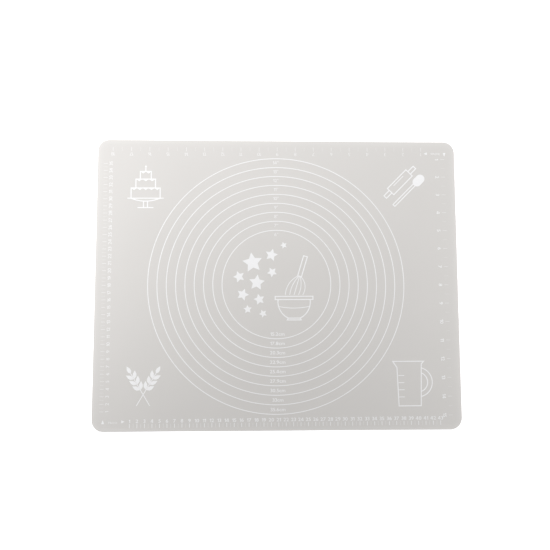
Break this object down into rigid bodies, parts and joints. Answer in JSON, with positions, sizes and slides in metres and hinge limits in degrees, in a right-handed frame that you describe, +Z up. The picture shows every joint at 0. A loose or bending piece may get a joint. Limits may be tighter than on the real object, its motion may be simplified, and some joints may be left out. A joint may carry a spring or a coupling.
{
  "type": "silicone baking mat",
  "caption": "Thin flat silicone baking mat with round corners, printed with metric and inch edge scales, concentric guide rings and small kitchen drawings.",
  "frame": {"origin": "middle of the cut sheet's footprint, on its underside, where the mat lies on a worktop", "axes": "+X along the long side, the way the centimetre scale at the bottom edge counts; +Y along the short side, the way the centimetre scale at the left edge counts; +Z up out of the printed face"},
  "size_m": [0.5, 0.4, 0.0008],
  "materials": {
    "silicone": "satin, warm light grey, slightly translucent",
    "print_ink": "satin white silicone ink"
  },
  "bodies": {
    "root": {"bottom_scale_half_ticks": "print_ink", "bottom_scale_whole_ticks": "print_ink", "drawings": "print_ink", "guide_ring_1": "print_ink", "guide_ring_2": "print_ink", "guide_ring_3": "print_ink", "guide_ring_4": "print_ink", "guide_ring_5": "print_ink", "guide_ring_6": "print_ink", "guide_ring_7": "print_ink", "guide_ring_8": "print_ink", "guide_ring_9": "print_ink", "inch_arrows": "print_ink", "left_scale_half_ticks": "print_ink", "left_scale_whole_ticks": "print_ink", "mat_sheet": "silicone", "metric_arrows": "print_ink", "right_scale_half_ticks": "print_ink", "right_scale_whole_ticks": "print_ink", "top_scale_half_ticks": "print_ink", "top_scale_whole_ticks": "print_ink"}
  },
  "joints": []
}
